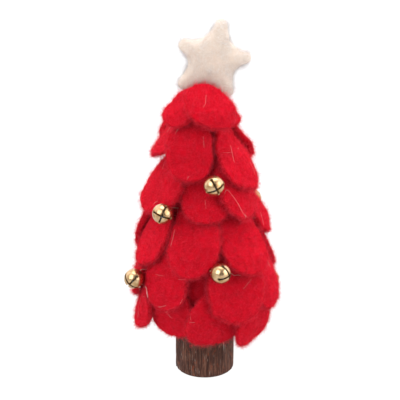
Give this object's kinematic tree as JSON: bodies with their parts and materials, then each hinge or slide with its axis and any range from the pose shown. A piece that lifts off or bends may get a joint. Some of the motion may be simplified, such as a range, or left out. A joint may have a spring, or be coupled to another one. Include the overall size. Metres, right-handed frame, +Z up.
{
  "type": "felt christmas tree ornament",
  "caption": "Standing felt Christmas tree: rounded red petals overlap in rows on a cone, gold jingle bells are sewn between them, and a soft cream star tops it, on a short bark-covered trunk.",
  "frame": {"origin": "centre of the trunk's foot, on the table", "axes": "+Z up along the trunk to the star, -Y to the front of the star, +X to the tree's right as seen in front"},
  "size_m": [0.0802, 0.0877, 0.1835],
  "materials": {
    "red_felt": "fuzzy needle felt",
    "cream_felt": "fuzzy needle felt",
    "bark": "rough bark",
    "beech": "plain dowel",
    "brass": "bright plated",
    "steel": "plain ball",
    "cotton": "fine sewing thread"
  },
  "bodies": {
    "tree": {"trunk": "bark", "trunk_peg": "beech", "core": "red_felt", "petal_f1": "red_felt", "petal_f2": "red_felt", "petal_f3": "red_felt", "petal_f4": "red_felt", "petal_f5": "red_felt", "petal_f6": "red_felt", "petal_f7": "red_felt", "petal_f8": "red_felt", "petal_e1": "red_felt", "petal_e2": "red_felt", "petal_e3": "red_felt", "petal_e4": "red_felt", "petal_e5": "red_felt", "petal_e6": "red_felt", "petal_e7": "red_felt", "petal_d1": "red_felt", "petal_d2": "red_felt", "petal_d3": "red_felt", "petal_d4": "red_felt", "petal_d5": "red_felt", "petal_d6": "red_felt", "petal_d7": "red_felt", "petal_c1": "red_felt", "petal_c2": "red_felt", "petal_c3": "red_felt", "petal_c4": "red_felt", "petal_c5": "red_felt", "petal_c6": "red_felt", "petal_b1": "red_felt", "petal_b2": "red_felt", "petal_b3": "red_felt", "petal_b4": "red_felt", "petal_b5": "red_felt", "petal_a1": "red_felt", "petal_a2": "red_felt", "petal_a3": "red_felt", "petal_cap1": "red_felt", "star": "cream_felt", "bell_thread": "cotton"},
    "bell_1": {"bell_1_shell": "brass"},
    "bell_1_rattle": {"bell_1_clapper": "steel"},
    "bell_2": {"bell_2_shell": "brass"},
    "bell_2_rattle": {"bell_2_clapper": "steel"},
    "bell_3": {"bell_3_shell": "brass"},
    "bell_3_rattle": {"bell_3_clapper": "steel"},
    "bell_4": {"bell_4_shell": "brass"},
    "bell_4_rattle": {"bell_4_clapper": "steel"},
    "bell_5": {"bell_5_shell": "brass"},
    "bell_5_rattle": {"bell_5_clapper": "steel"},
    "bell_6": {"bell_6_shell": "brass"},
    "bell_6_rattle": {"bell_6_clapper": "steel"},
    "bell_7": {"bell_7_shell": "brass"},
    "bell_7_rattle": {"bell_7_clapper": "steel"},
    "bell_8": {"bell_8_shell": "brass"},
    "bell_8_rattle": {"bell_8_clapper": "steel"}
  },
  "joints": [
    {"name": "bell_1_swing", "type": "hinge", "parent": "tree", "child": "bell_1", "pos_m": [0.00262, -0.02496, 0.10971], "axis": [-0.89, -0.2023, -0.4085], "range_deg": [0, 30]},
    {"name": "bell_1_rattle_slide", "type": "slide", "parent": "bell_1", "child": "bell_1_rattle", "axis": [0, 0, 1], "range_m": [0, 0.0045]},
    {"name": "bell_2_swing", "type": "hinge", "parent": "tree", "child": "bell_2", "pos_m": [-0.0203, -0.0223, 0.09387], "axis": [-0.3484, -0.0487, -0.9361], "range_deg": [0, 30]},
    {"name": "bell_2_rattle_slide", "type": "slide", "parent": "bell_2", "child": "bell_2_rattle", "axis": [0, 0, 1], "range_m": [0, 0.0045]},
    {"name": "bell_3_swing", "type": "hinge", "parent": "tree", "child": "bell_3", "pos_m": [-0.01568, 0.0224, 0.09349], "axis": [0.8192, 0.5736, 0], "range_deg": [0, 30]},
    {"name": "bell_3_rattle_slide", "type": "slide", "parent": "bell_3", "child": "bell_3_rattle", "axis": [0, 0, 1], "range_m": [0, 0.0045]},
    {"name": "bell_4_swing", "type": "hinge", "parent": "tree", "child": "bell_4", "pos_m": [0.02083, 0.01876, 0.08739], "axis": [0.6691, -0.7431, 0], "range_deg": [0, 30]},
    {"name": "bell_4_rattle_slide", "type": "slide", "parent": "bell_4", "child": "bell_4_rattle", "axis": [0, 0, 1], "range_m": [0, 0.0045]},
    {"name": "bell_5_swing", "type": "hinge", "parent": "tree", "child": "bell_5", "pos_m": [0.00303, -0.03467, 0.06733], "axis": [-0.1549, -0.2215, -0.9628], "range_deg": [0, 30]},
    {"name": "bell_5_rattle_slide", "type": "slide", "parent": "bell_5", "child": "bell_5_rattle", "axis": [0, 0, 1], "range_m": [0, 0.0045]},
    {"name": "bell_6_swing", "type": "hinge", "parent": "tree", "child": "bell_6", "pos_m": [-0.03312, -0.0144, 0.05877], "axis": [-0.2767, 0.3916, -0.8775], "range_deg": [0, 30]},
    {"name": "bell_6_rattle_slide", "type": "slide", "parent": "bell_6", "child": "bell_6_rattle", "axis": [0, 0, 1], "range_m": [0, 0.0045]},
    {"name": "bell_7_swing", "type": "hinge", "parent": "tree", "child": "bell_7", "pos_m": [-0.01646, 0.0353, 0.05228], "axis": [0.9063, 0.4226, 0], "range_deg": [0, 30]},
    {"name": "bell_7_rattle_slide", "type": "slide", "parent": "bell_7", "child": "bell_7_rattle", "axis": [0, 0, 1], "range_m": [0, 0.0045]},
    {"name": "bell_8_swing", "type": "hinge", "parent": "tree", "child": "bell_8", "pos_m": [0.03079, 0.01637, 0.04514], "axis": [0.4695, -0.8829, 0], "range_deg": [0, 30]},
    {"name": "bell_8_rattle_slide", "type": "slide", "parent": "bell_8", "child": "bell_8_rattle", "axis": [0, 0, 1], "range_m": [0, 0.0045]}
  ]
}
